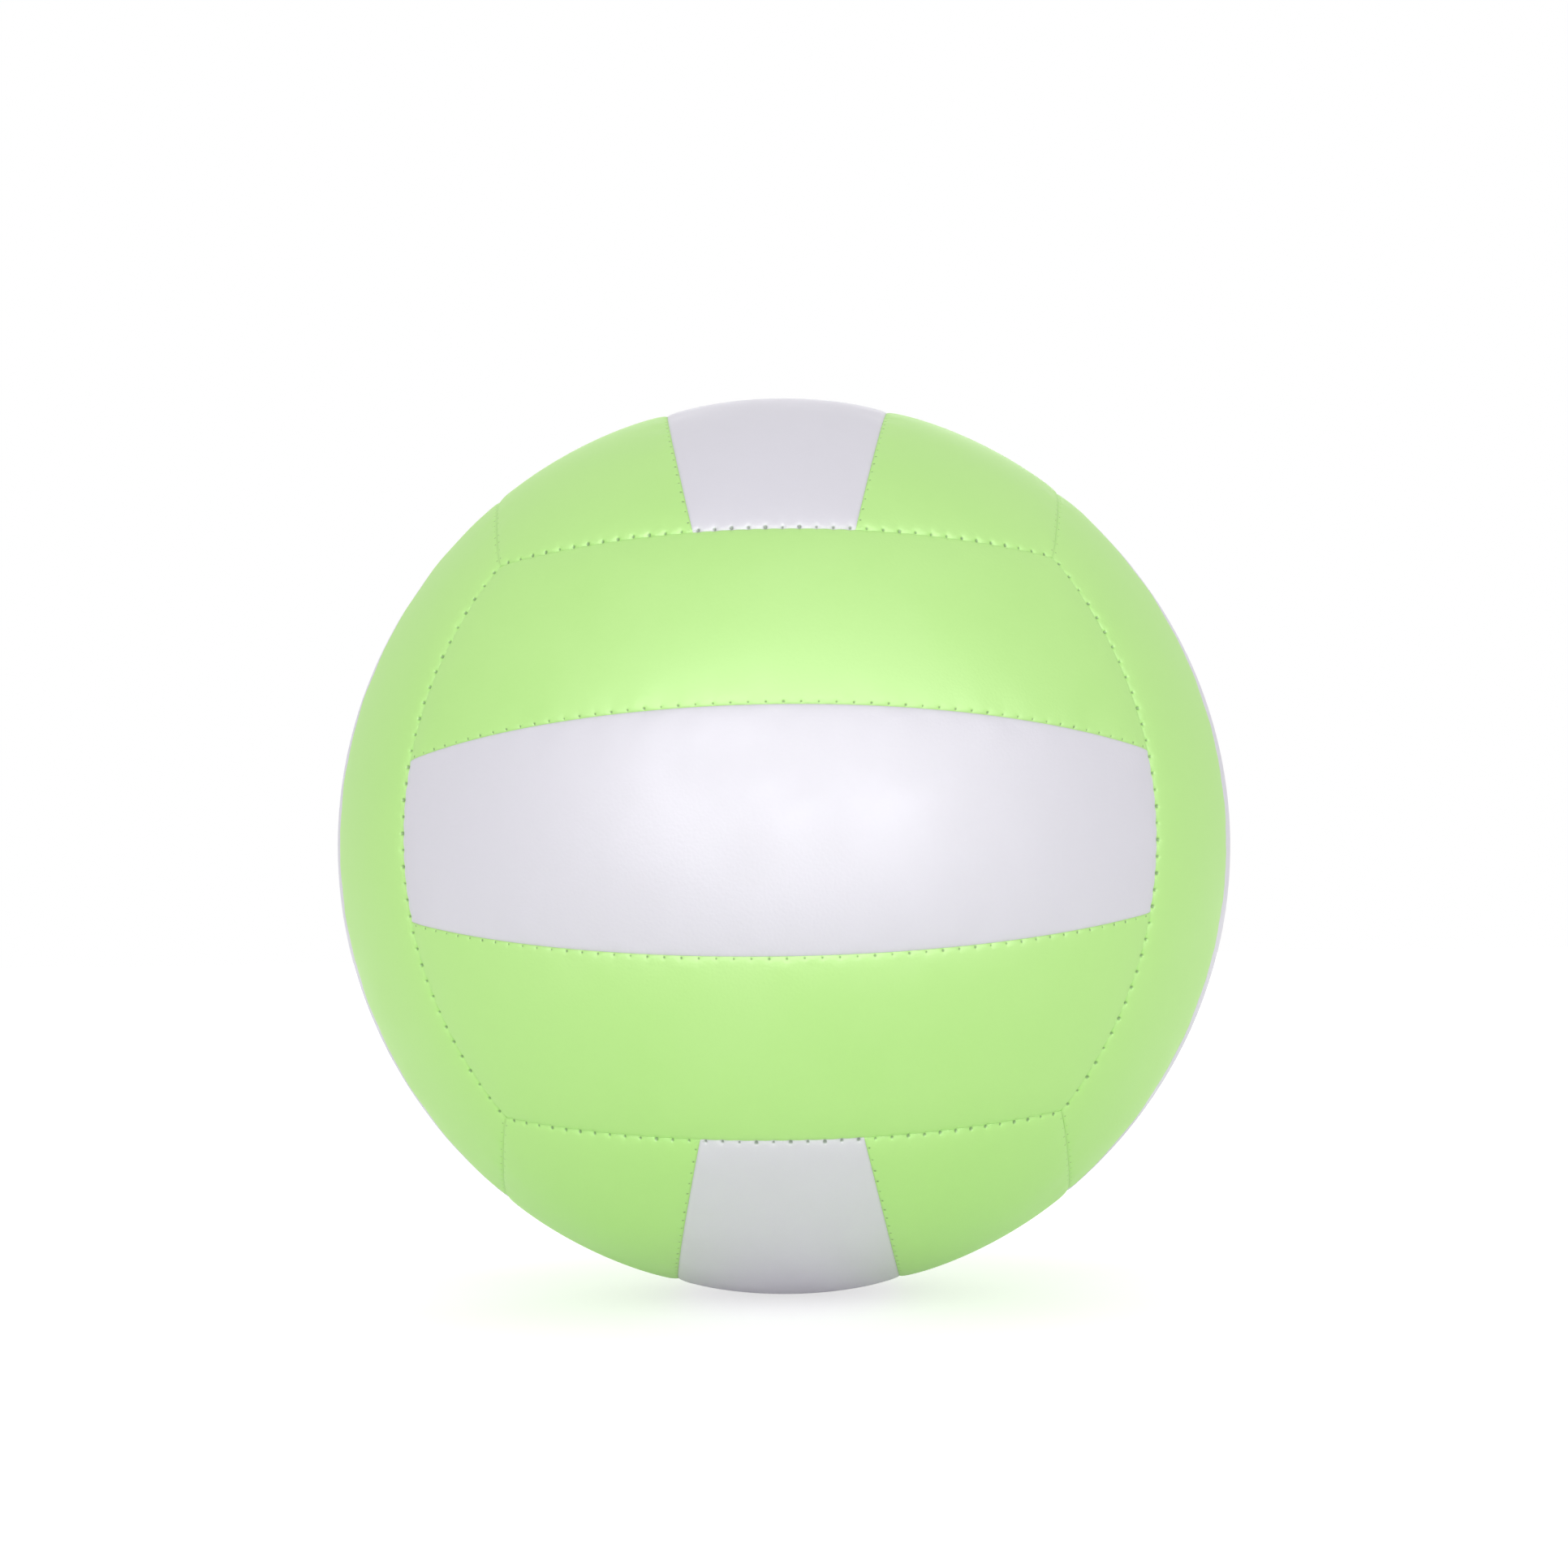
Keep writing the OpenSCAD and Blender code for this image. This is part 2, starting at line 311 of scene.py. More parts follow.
@dataclass(frozen=True)
class Layout:
    """Where the seams lie on the ball."""

    radius: float
    edge_angle: float = math.radians(38.4)
    strip_angle: float = math.radians(14.3)
    strip_lean: float = math.radians(13)
    stitch_pitch: float = 3.65 * MM
    edge_pull: float = 1
    rolled_pull: float = 0.3
    strip_pull: float = 0.7
    middle_pull: float = 0.15
    shallow_pull: float = 0.45
    edge_sink: float = 1.05 * MM
    shallow_sink: float = 0.3 * MM
    strip_sink: float = 0.5 * MM

    @property
    def edge_lean(self) -> float:
        """How far the axis of a seam between two faces tips away from the face."""
        return math.atan2(math.sin(self.edge_angle) - CORNER, math.cos(self.edge_angle) - CORNER)

    @property
    def edge_latitude(self) -> float:
        """The latitude of a seam between two faces, about its axis."""
        return self.edge_angle - self.edge_lean

    @property
    def edge_half_arc(self) -> float:
        """Half the turn of a seam between two faces, about its axis."""
        return math.asin(CORNER / math.cos(self.edge_latitude))

    def reach(self, lean: float, latitude: np.ndarray, end_latitude: float) -> np.ndarray:
        """Gives the turn at which a circle along the strips meets the seam across its end.

        Args:
            lean: How far the circle's axis tips away from the face.
            latitude: The circle's latitude about that axis.
            end_latitude: The latitude of the seam, or of a line beside it, about its own axis.

        Returns:
            The turn from the circle's middle to its end.
        """
        along = math.cos(self.edge_lean) * np.cos(latitude) * np.cos(lean)
        out = math.sin(self.edge_lean) * np.cos(latitude)
        level = math.sin(end_latitude) + math.cos(self.edge_lean) * np.sin(latitude) * np.sin(lean)
        return np.arccos(level / np.hypot(along, out)) - np.arctan2(out, along)

    def face_seam(self, axis: tuple[float, float], side: int, is_shallow: bool, is_rolled: bool) -> Seam:
        """Makes a seam between two faces.

        Args:
            axis: The tilt and spin of its axis.
            side: On which side of it the panel lies.
            is_shallow: Whether it lies shallower than the others.
            is_rolled: Whether the panel's rim rolls over it.

        Returns:
            The seam.
        """
        frame = np.array(Euler((0, *axis), "XYZ").to_matrix())
        place = (frame, self.edge_latitude, side, self.radius, self.edge_half_arc)
        if is_shallow:
            return Seam(*place, self.stitch_pitch, self.shallow_pull, self.shallow_sink)
        pull = self.rolled_pull if is_rolled else self.edge_pull
        return Seam(*place, self.stitch_pitch, pull, self.edge_sink)

    def edge_seam(self, face: Face) -> Seam:
        """The seam along the first strip, shared with the next face."""
        axis = (math.pi / 2 + self.edge_lean, math.pi / 2)
        return self.face_seam(axis, -1, face.has_shallow_edges, face.is_rolled)

    def end_seam(self, face: Face, spin: float) -> Seam:
        """The seam across the strips' ends at +X, or at -X where it is spun."""
        return self.face_seam((self.edge_lean, spin), 1, face.has_shallow_ends, face.is_rolled)

    def strip_seam(self, spin: float, side: int) -> Seam:
        """The seam between the middle strip and its neighbour."""
        latitude = self.strip_angle - self.strip_lean
        half_arc = float(self.reach(self.strip_lean, latitude, self.edge_latitude))
        frame = np.array(Euler((0, math.pi / 2 + self.strip_lean, spin), "XYZ").to_matrix())
        place = (frame, latitude, side, self.radius, half_arc)
        pull = self.strip_pull if side > 0 else self.middle_pull
        return Seam(*place, self.stitch_pitch, pull, self.strip_sink)

    def seams_round(self, strip: Strip, face: Face) -> list[Seam]:
        """Lists the four seams round a strip.

        Args:
            strip: Which strip it is.
            face: Its face.

        Returns:
            Its seams in the frame of the face, turned half round for the last strip.
        """
        ends = [self.end_seam(face, math.pi), self.end_seam(face, 0)]
        if strip is Strip.MIDDLE:
            return [self.strip_seam(math.pi / 2, -1), self.strip_seam(-math.pi / 2, -1), *ends]
        return [self.edge_seam(face), self.strip_seam(math.pi / 2, 1), *ends]


@dataclass(frozen=True)
class Relief:
    """How a skin sinks at its seams, point by point."""

    depth: np.ndarray
    # How near a seam is, from 0 to 1, which sets the painted shade in the groove
    nearness: np.ndarray
    # The count of stitches along the nearest seam, its distance in millimetres and the needle holes' size
    sewing: np.ndarray


@dataclass
class Panel:
    """A padded panel: an outer skin with rounded rims, pulled in at every stitch."""

    layout: Layout
    skin: float = 1 * MM
    lip: float = 4 * MM
    rim: float = 2.4 * MM
    half_gap: float = 0.01 * MM
    cell: float = 1.46 * MM
    band: float = 4.2 * MM
    fine_cuts: int = 3
    crown_reach: float = 3.8 * MM
    edge: float = 0.22 * MM
    edge_reach: float = 0.45 * MM
    tuck_share: float = 0.42
    tuck_half: float = 0.9 * MM
    tuck_reach: float = 1.1 * MM
    pit: float = 0.22 * MM
    pit_half: float = 0.42 * MM
    pit_inset: float = 0.5 * MM
    flat: float = 0.35 * MM
    flat_reach: float = 4 * MM
    dish: float = 0.45 * MM
    dish_half: float = 5.5 * MM
    dish_reach: float = 11 * MM
    swell: float = 0.07 * MM
    swell_length: float = 17 * MM
    # How many times the swelling's second, shorter wave fits into the first
    swell_ratio: float = 1.7
    # How sharply the dips of two seams meet, and how flat the floor of the dish is
    meet_power: int = 4
    dish_power: int = 4

    @property
    def rim_slack(self) -> float:
        """How much longer two rims are along their rounds than straight across."""
        return (math.pi - 2) * self.rim

    def span(self, strip: Strip) -> tuple[float, float]:
        """Returns the angles of the panel's two long borders, from the middle of the face."""
        gap = self.half_gap / self.layout.radius
        if strip is Strip.MIDDLE:
            return -self.layout.strip_angle + gap, self.layout.strip_angle - gap
        return self.layout.strip_angle + gap, self.layout.edge_angle - gap

    def leans(self, strip: Strip) -> tuple[float, float]:
        """Returns the leans of the circles that the two long borders follow."""
        if strip is Strip.MIDDLE:
            return -self.layout.strip_lean, self.layout.strip_lean
        return self.layout.strip_lean, self.layout.edge_lean

    def on_ball(self, strip: Strip, u: np.ndarray, v: np.ndarray) -> np.ndarray:
        """Lays a flat panel on the ball.

        Args:
            strip: Which panel it is.
            u: Place along the strip, from -1 to 1.
            v: Place across the strip, from 0 to 1.

        Returns:
            Unit points in the face's frame.
        """
        low, high = self.span(strip)
        lean_low, lean_high = self.leans(strip)
        lean = lean_low + (lean_high - lean_low) * v
        latitude = low + (high - low) * v - lean
        end = self.layout.edge_latitude + self.half_gap / self.layout.radius
        turn = u * self.layout.reach(lean, latitude, end)
        outward = np.cos(latitude) * np.cos(turn)
        return np.stack(
            [
                np.cos(latitude) * np.sin(turn),
                np.sin(latitude) * np.cos(lean) + outward * np.sin(lean),
                -np.sin(latitude) * np.sin(lean) + outward * np.cos(lean),
            ],
            axis=1,
        )

    def unrolled(self, strip: Strip) -> tuple[float, float]:
        """Returns the panel's length and width with its rims laid flat."""
        low, high = self.span(strip)
        middle = (low + high) / 2
        lean = sum(self.leans(strip)) / 2
        turn = float(self.layout.reach(lean, middle - lean, self.layout.edge_latitude))
        length = 2 * turn * self.layout.radius * math.cos(middle - lean)
        width = (high - low) * self.layout.radius
        return length + self.rim_slack, width + self.rim_slack

    def fold(self, place: np.ndarray, full: float) -> np.ndarray:
        """Turns a place on the laid out panel into a share of its folded breadth."""
        arc = math.pi / 2 * self.rim
        from_edge = np.minimum(place, full - place)
        on_rim = self.rim * (1 - np.cos(np.minimum(from_edge, arc) / self.rim))
        across = np.where(from_edge < arc, on_rim, from_edge - arc + self.rim)
        breadth = full - self.rim_slack
        return np.where(place < full / 2, across, breadth - across) / breadth

    def blank(self, strip: Strip) -> bpy.types.Object:
        """Cuts a flat panel with a finer net along its borders.

        Args:
            strip: Which panel it is.

        Returns:
            A flat grid of unit size.
        """
        length, width = self.unrolled(strip)
        bpy.ops.object.select_all(action="DESELECT")
        bpy.ops.mesh.primitive_grid_add(
            x_subdivisions=round(length / self.cell), y_subdivisions=round(width / self.cell), size=1
        )
        piece = bpy.context.active_object
        piece.name = f"{strip.name.lower()}_blank"
        self.refine(
            piece, lambda at: min((0.5 - abs(at.x)) * length, (0.5 - abs(at.y)) * width) < self.band
        )
        return piece

    def refine(self, piece: bpy.types.Object, is_chosen: Callable[[Vector], bool]) -> None:
        """Gives some of a flat panel's faces a finer net.

        Args:
            piece: The flat panel.
            is_chosen: Tells by the middle of a face whether it is one of them.
        """
        bpy.ops.object.mode_set(mode="EDIT")
        bpy.ops.mesh.select_mode(type="FACE")
        bpy.ops.mesh.select_all(action="DESELECT")
        bpy.ops.object.mode_set(mode="OBJECT")
        for face in piece.data.polygons:
            face.select = is_chosen(face.center)
        bpy.ops.object.mode_set(mode="EDIT")
        bpy.ops.mesh.subdivide(number_cuts=self.fine_cuts, smoothness=0, ngon=False)
        bpy.ops.object.mode_set(mode="OBJECT")

    def relief(self, points: np.ndarray, seams: list[Seam], rng: np.random.Generator) -> Relief:
        """Works out how the skin sinks at its seams.

        Args:
            points: Unit points on the ball.
            seams: The seams round the panel.
            rng: The source of this panel's unevenness.

        Returns:
            The relief of the skin.
        """
        swell = np.zeros(len(points))
        nearness = np.zeros(len(points))
        sewing = []
        drops = []
        for seam in seams:
            inside = np.maximum(seam.distance(points) - self.half_gap, 0)
            counts = seam.counts_at(points)
            away, pull = seam.nearest_stitch(counts)
            tuck = pull * np.exp(-((away / self.tuck_half) ** 2) - inside / self.tuck_reach)
            sink = seam.sink_at(points) * (np.exp(-inside / self.crown_reach) + self.tuck_share * tuck)
            holes = seam.hole_sizes(counts)
            pit = holes * np.exp(-(away**2 + (inside - self.pit_inset) ** 2) / self.pit_half**2)
            drops.append(sink + self.edge * np.exp(-inside / self.edge_reach) + self.pit * pit)
            sewing.append(np.stack([counts, inside / MM, holes], axis=1))
            along = points @ seam.frame[:, 1] * self.layout.radius / self.swell_length * math.tau
            start, second = rng.uniform(0, math.tau, 2)
            wave = np.sin(along + start) + np.sin(self.swell_ratio * along + second)
            fade = np.exp(-((inside / (2 * self.rim)) ** 2))
            swell += self.swell * wave * fade * np.minimum(inside / self.rim, 1)
            nearness = np.maximum(nearness, np.exp(-inside / self.rim))
        depth = swell + np.linalg.norm(drops, ord=self.meet_power, axis=0)
        layers = np.array(sewing)
        nearest = np.argmin(layers[:, :, 1], axis=0)
        return Relief(depth, nearness, layers[nearest, np.arange(len(points))])

    def make(
        self, blank: bpy.types.Object, face: Face, strip: Strip, seed: int, has_valve: bool
    ) -> bpy.types.Object:
        """Sews one panel on the ball.

        Args:
            blank: The flat panel.
            face: The face that it belongs to.
            strip: Which strip of the face it is.
            seed: Chooses the panel's unevenness.
            has_valve: Whether the panel sinks in its middle round the valve.

        Returns:
            The skin as a closed shell.
        """
        select_only(blank)
        bpy.ops.object.duplicate(linked=False)
        piece = bpy.context.active_object
        piece.name = f"{face.name}_{face.strips[strip.value]}_skin"
        piece.data.name = piece.name
        length, width = self.unrolled(strip)
        if has_valve:
            self.refine(piece, lambda at: math.hypot(at.x * length, at.y * width) < self.dish_reach)
        flat = points_of(piece.data)
        u = 2 * self.fold((flat[:, 0] + 0.5) * length, length) - 1
        v = self.fold((flat[:, 1] + 0.5) * width, width)
        unit = self.on_ball(strip, u, v)
        relief = self.relief(unit, self.layout.seams_round(strip, face), np.random.default_rng(seed))
        depth = relief.depth
        if strip is Strip.MIDDLE and face.has_shallow_ends:
            depth = depth + self.flat * (1 - np.exp(-relief.sewing[:, 1] * MM / self.flat_reach))
        if has_valve:
            off_axis = np.hypot(unit[:, 0], unit[:, 1]) * self.layout.radius
            depth = depth + self.dish * np.exp(-((off_axis / self.dish_half) ** self.dish_power))
        points = unit * (self.layout.radius - depth)[:, None]
        set_points(piece.data, points @ face.turned(is_last=strip is Strip.LAST).T)
        set_mask(piece.data, "seam", relief.nearness)
        set_mask(piece.data, "sewing", relief.sewing)
        self.add_lips(piece)
        apply_modifier(piece, "SOLIDIFY", thickness=self.skin, offset=-1)
        bpy.ops.object.shade_smooth_by_angle(angle=SKIN_CREASE)
        return piece

    def add_lips(self, piece: bpy.types.Object) -> None:
        """Folds the panel's rims down to the backing, where the seams are sewn."""
        select_only(piece)
        bpy.ops.object.mode_set(mode="EDIT")
        bpy.ops.mesh.select_mode(type="EDGE")
        bpy.ops.mesh.select_all(action="DESELECT")
        bpy.ops.mesh.select_non_manifold(extend=False)
        bpy.ops.mesh.extrude_region_move()
        bpy.ops.object.mode_set(mode="OBJECT")
        chosen = np.empty(len(piece.data.vertices), bool)
        piece.data.vertices.foreach_get("select", chosen)
        points = points_of(piece.data)
        lengths = np.linalg.norm(points[chosen], axis=1)[:, None]
        points[chosen] *= (self.layout.radius - self.lip) / lengths
        set_points(piece.data, points)


@dataclass
class SeamThread:
    """The lock stitch of a seam: a thread along each side and a pass through the lips at each stitch."""

    layout: Layout
    thread: float = 0.5 * MM
    run_depth: float = 2.75 * MM
    run_offset: float = 1.45 * MM
    bury: float = 0.95 * MM
    sides: int = 8
    rings: int = 7

    def tube(self, path: np.ndarray, out: np.ndarray) -> tuple[np.ndarray, list[tuple[int, ...]]]:
        """Sweeps the thread along a path and closes its ends.

        Args:
            path: The points along the middle of the thread.
            out: The outward direction at each of them.

        Returns:
            The points of the tube and its faces.
        """
        along = np.gradient(path, axis=0)
        along /= np.linalg.norm(along, axis=1)[:, None]
        across = np.cross(along, out)
        across /= np.linalg.norm(across, axis=1)[:, None]
        up = np.cross(across, along)
        angles = np.arange(self.sides) * math.tau / self.sides
        lines = [path + self.thread / 2 * (across * math.cos(a) + up * math.sin(a)) for a in angles]
        points = np.stack(lines, axis=1).reshape(-1, 3)
        sides, last = self.sides, (len(path) - 1) * self.sides
        faces = [
            (ring + j, ring + (j + 1) % sides, ring + sides + (j + 1) % sides, ring + sides + j)
            for ring in range(0, last, sides)
            for j in range(sides)
        ]
        faces.append(tuple(range(sides - 1, -1, -1)))
        faces.append(tuple(last + j for j in range(sides)))
        return points, faces

    def pass_path(self, seam: Seam, turn: float) -> np.ndarray:
        """Returns the path of the thread from one side of the lips to the other at a stitch."""
        shares = np.linspace(-1, 1, self.rings)
        rise = (self.run_depth - seam.sink - self.bury) * np.cos(shares * math.pi / 2)
        return np.array(
            [
                seam.place(turn, share * self.run_offset, self.layout.radius - self.run_depth + lift)
                for share, lift in zip(shares, rise)
            ]
        )

    def run_path(self, seam: Seam, side: int) -> np.ndarray:
        """Returns the path of the thread that lies along one side of the lips."""
        turns = seam.turns
        margin = self.thread / self.layout.radius
        return np.array(
            [
                seam.place(turn, side * self.run_offset, self.layout.radius - self.run_depth)
                for turn in np.linspace(turns[0] - margin, turns[-1] + margin, 2 * len(turns))
            ]
        )

    def make(self, name: str, seams: list[tuple[Seam, np.ndarray]]) -> bpy.types.Object:
        """Threads one or more seams as one piece.

        Args:
            name: The new piece's name.
            seams: Each seam with the rotation of its face.

        Returns:
            The threads as closed tubes.
        """
        points: list[np.ndarray] = []
        faces: list[tuple[int, ...]] = []
        for seam, turned in seams:
            paths = [self.run_path(seam, side) for side in (-1, 1)]
            paths += [self.pass_path(seam, turn) for turn in seam.turns]
            for path in paths:
                ring, quads = self.tube(path, path / np.linalg.norm(path, axis=1)[:, None])
                start = sum(len(p) for p in points)
                points.append(ring @ turned.T)
                faces += [tuple(start + i for i in quad) for quad in quads]
        piece = new_piece(name, np.concatenate(points).tolist(), [], faces)
        bpy.ops.object.mode_set(mode="EDIT")
        bpy.ops.mesh.select_all(action="SELECT")
        bpy.ops.mesh.normals_make_consistent(inside=False)
        bpy.ops.object.mode_set(mode="OBJECT")
        bpy.ops.object.shade_smooth_by_angle(angle=SKIN_CREASE)
        return piece


@dataclass(frozen=True)
class Valve:
    """The rubber needle valve in the back panel, turned on its own axis."""

    radius: float
    width: float = 7.6 * MM
    sink: float = 0.3 * MM
    fit: float = 0.1 * MM
    lip: float = 0.35 * MM
    ring: float = 3.05 * MM
    ring_depth: float = 0.18 * MM
    plug: float = 4.6 * MM
    plug_fit: float = 0.02 * MM
    plug_length: float = 16 * MM
    tail: float = 1.2 * MM
    needle: float = 2 * MM
    needle_length: float = 11 * MM
    funnel: float = 3.2 * MM
    funnel_length: float = 0.8 * MM
    cover: float = 5.15 * MM
    flange: float = 24 * MM
    flange_wall: float = 1.4 * MM
    # The wall of the bladder, between the cover and the flange
    bladder: float = 0.7 * MM
    # The edges round a quarter of a circle, the faces round the valve, and the edges round its hole
    arc_steps: int = 6
    turn_steps: int = 72
    hole_steps: int = 96
    # Points closer together than this are made one
    weld: float = 0.001 * MM

    @property
    def face(self) -> float:
        """The height of the valve's face over the ball's centre."""
        return self.radius - self.sink

    def corner(self, centre: tuple[float, float], size: float, first: float) -> Section:
        """Rounds a corner of a section.

        Args:
            centre: The middle of the round.
            size: Its radius.
            first: The direction at which it starts, in degrees; it turns clockwise by 90.

        Returns:
            Its points.
        """
        angles = [math.radians(first - 90 * i / self.arc_steps) for i in range(self.arc_steps + 1)]
        return [(centre[0] + size * math.cos(a), centre[1] + size * math.sin(a)) for a in angles]

    def layer(self, size: float, start: float, end: float) -> Section:
        """Follows a ball of a given radius from one distance off the axis to another."""
        shares = [i / self.arc_steps for i in range(self.arc_steps + 1)]
        places = [start + (end - start) * share for share in shares]
        return [(place, math.sqrt(size**2 - place**2)) for place in places]

    def turn(self, name: str, section: Section, face: np.ndarray) -> bpy.types.Object:
        """Spins a section round the valve's axis.

        Args:
            name: The new piece's name.
            section: Distances off the axis and heights, from the axis round to the axis.
            face: The rotation of the valve's face.

        Returns:
            The turned piece.
        """
        edges = [(i, i + 1) for i in range(len(section) - 1)]
        piece = new_piece(name, [(off, 0, height) for off, height in section], edges, [])
        bpy.ops.object.mode_set(mode="EDIT")
        bpy.ops.mesh.select_all(action="SELECT")
        bpy.ops.mesh.spin(steps=self.turn_steps, angle=math.tau, center=(0, 0, 0), axis=(0, 0, 1))
        bpy.ops.mesh.select_all(action="SELECT")
        bpy.ops.mesh.remove_doubles(threshold=self.weld)
        bpy.ops.mesh.normals_make_consistent(inside=False)
        bpy.ops.object.mode_set(mode="OBJECT")
        set_points(piece.data, points_of(piece.data) @ face.T)
        bpy.ops.object.shade_smooth_by_angle(angle=VALVE_CREASE)
        return piece

    def make_body(self, face: np.ndarray) -> bpy.types.Object:
        """Turns the valve's body, with its face, its flange in the bladder and its closed tail."""
        wall, bore = self.width / 2, self.plug / 2 + self.plug_fit
        floor = self.face - self.plug_length
        top = self.radius - self.cover - self.bladder
        section = [(0, floor), (bore, floor), (bore, self.face)]
        section += [
            (self.ring - self.ring_depth, self.face),
            (self.ring, self.face - self.ring_depth),
            (self.ring + self.ring_depth, self.face),
        ]
        section += self.corner((wall - self.lip, self.face - self.lip), self.lip, 90)
        section += self.layer(top, wall, self.flange / 2)
        section += self.layer(top - self.flange_wall, self.flange / 2, wall)
        section += self.corner((wall - self.tail, floor), self.tail, 0)
        section.append((0, floor - self.tail))
        return self.turn("valve_housing", section, face)

    def make_plug(self, face: np.ndarray) -> bpy.types.Object:
        """Turns the plug, with the funnel and the channel for the pump's needle."""
        wall, channel = self.plug / 2, self.needle / 2
        neck = self.face - self.funnel_length
        bottom, floor = neck - self.needle_length, self.face - self.plug_length
        section = [(0, bottom), (channel, bottom), (channel, neck)]
        section += self.corner((self.funnel / 2, neck), self.funnel / 2 - channel, 180)
        section += [(wall, self.face), (wall, floor), (0, floor)]
        return self.turn("needle_plug", section, face)

    def cut_hole(self, skin: bpy.types.Object, face: np.ndarray) -> None:
        """Punches the round hole for the valve in its panel.

        Args:
            skin: The panel at the back.
            face: The rotation of its face.
        """
        bpy.ops.object.select_all(action="DESELECT")
        bpy.ops.mesh.primitive_cylinder_add(
            vertices=self.hole_steps,
            radius=self.width / 2 + self.fit,
            depth=self.plug_length,
            location=(0, 0, self.radius),
        )
        punch = bpy.context.active_object
        bpy.ops.object.transform_apply(location=True, rotation=True, scale=True)
        set_points(punch.data, points_of(punch.data) @ face.T)
        apply_modifier(skin, "BOOLEAN", operation="DIFFERENCE", solver="EXACT", object=punch)
        bpy.data.objects.remove(punch)

    def build(self, skin: bpy.types.Object, face: np.ndarray, material: bpy.types.Material) -> None:
        """Sets the valve in its panel.

        Args:
            skin: The panel at the back.
            face: The rotation of its face.
            material: The finish of the rubber.
        """
        self.cut_hole(skin, face)
        hand_over(self.make_body(face), "rubber", material, "valve_body")
        hand_over(self.make_plug(face), "rubber", material, "valve_plug")


class Shader:
    """A small hand for wiring a material or a node group."""

    def __init__(self, tree: bpy.types.NodeTree) -> None:
        """Keeps the tree that the nodes go into."""
        self.tree = tree

    def feed(self, node: bpy.types.Node, inputs: dict) -> None:
        """Links sockets to a node's inputs, or writes plain values to them, by name or number."""
        for name, value in inputs.items():
            if isinstance(value, Socket):
                self.tree.links.new(value, node.inputs[name])
            else:
                node.inputs[name].default_value = value

    def add(self, kind: str, inputs: dict | None = None, **settings: object) -> bpy.types.Node:
        """Adds a node.

        Args:
            kind: Blender's type of the node.
            inputs: Values or sockets by the input's name or number.
            **settings: Values of the node's properties.

        Returns:
            The new node.
        """
        node = self.tree.nodes.new(kind)
        for name, value in settings.items():
            setattr(node, name, value)
        self.feed(node, inputs or {})
        return node

    def math(self, operation: str, *values: object) -> Socket:
        """Adds a sum of numbers or sockets and returns its result."""
        return self.add("ShaderNodeMath", dict(enumerate(values)), operation=operation).outputs[0]

    def fade(self, value: Socket, low: float, high: float, to_low: float, to_high: float) -> Socket:
        """Maps a value smoothly from one range to another and returns it."""
        names = ("Value", "From Min", "From Max", "To Min", "To Max")
        inputs = dict(zip(names, (value, low, high, to_low, to_high)))
        return self.add("ShaderNodeMapRange", inputs, interpolation_type="SMOOTHSTEP").outputs["Result"]

    def mix(self, factor: Socket, first: object, second: object) -> Socket:
        """Mixes two colours, the node's inputs 6 and 7, and returns the result."""
        inputs = {0: factor, 6: first, 7: second}
        return self.add("ShaderNodeMix", inputs, data_type="RGBA").outputs[2]

    def effect(self, group: bpy.types.NodeTree, place: Socket, **values: float) -> Socket:
        """Places a shared group with its own values and returns its one output."""
        return self.add("ShaderNodeGroup", {"Vector": place, **values}, node_tree=group).outputs[0]

    def bump(self, height: Socket, strength: float, depth: float) -> Socket:
        """Raises the surface by a height and returns the bent normal."""
        inputs = {"Height": height, "Strength": strength, "Distance": depth}
        return self.add("ShaderNodeBump", inputs).outputs["Normal"]


def make_group(
    name: str, inputs: dict[str, tuple[str, object]], outputs: dict[str, str]
) -> tuple[Shader, dict]:
    """Starts a node group with named sockets.

    Args:
        name: The group's name.
        inputs: Socket type and value by name.
        outputs: Socket type by name.

    Returns:
        The group's shader, and its input sockets and output node.
    """
    group = bpy.data.node_groups.new(name, "ShaderNodeTree")
    for label, (kind, value) in inputs.items():
        socket = group.interface.new_socket(label, in_out="INPUT", socket_type=kind)
        if value is not None:
            socket.default_value = value
    for label, kind in outputs.items():
        group.interface.new_socket(label, in_out="OUTPUT", socket_type=kind)
    shader = Shader(group)
    return shader, {"in": shader.add("NodeGroupInput").outputs, "out": shader.add("NodeGroupOutput")}


def grain_group() -> bpy.types.NodeTree:
    """Builds the pebbled grain of leather, foam and rubber.

    Returns:
        A group that puts out a height.
    """
    floats = {"Cell": ("NodeSocketFloat", 0.5), "Pores": ("NodeSocketFloat", 0.3)}
    shader, ends = make_group(
        "pebble_grain", {"Vector": ("NodeSocketVector", None), **floats}, {"Height": "NodeSocketFloat"}
    )
    # The noise that bends the cells out of line, how far it moves them, and how much finer the pores are
    warp_scale, warp_reach, pore_ratio = 900.0, 0.3 * MM, 2.3
    vector = ends["in"]["Vector"]
    scale = shader.math("DIVIDE", PER_METRE, ends["in"]["Cell"])
    pore_scale = shader.math("MULTIPLY", scale, pore_ratio)
    warp = shader.add("ShaderNodeTexNoise", {"Vector": vector, "Scale": warp_scale, "Detail": 2.0})
    moved = shader.add(
        "ShaderNodeVectorMath", {0: warp.outputs["Color"], "Scale": warp_reach}, operation="SCALE"
    )
    place = shader.add("ShaderNodeVectorMath", {0: vector, 1: moved.outputs[0]}, operation="ADD")
    cells = shader.add(
        "ShaderNodeTexVoronoi", {"Vector": place.outputs[0], "Scale": scale}, feature="SMOOTH_F1"
    )
    fine = shader.add("ShaderNodeTexNoise", {"Vector": vector, "Scale": pore_scale, "Detail": 3.0})
    bump = shader.math("SUBTRACT", 1.0, cells.outputs["Distance"])
    pores = shader.math("MULTIPLY", fine.outputs["Fac"], ends["in"]["Pores"])
    shader.tree.links.new(shader.math("ADD", bump, pores), ends["out"].inputs["Height"])
    return shader.tree


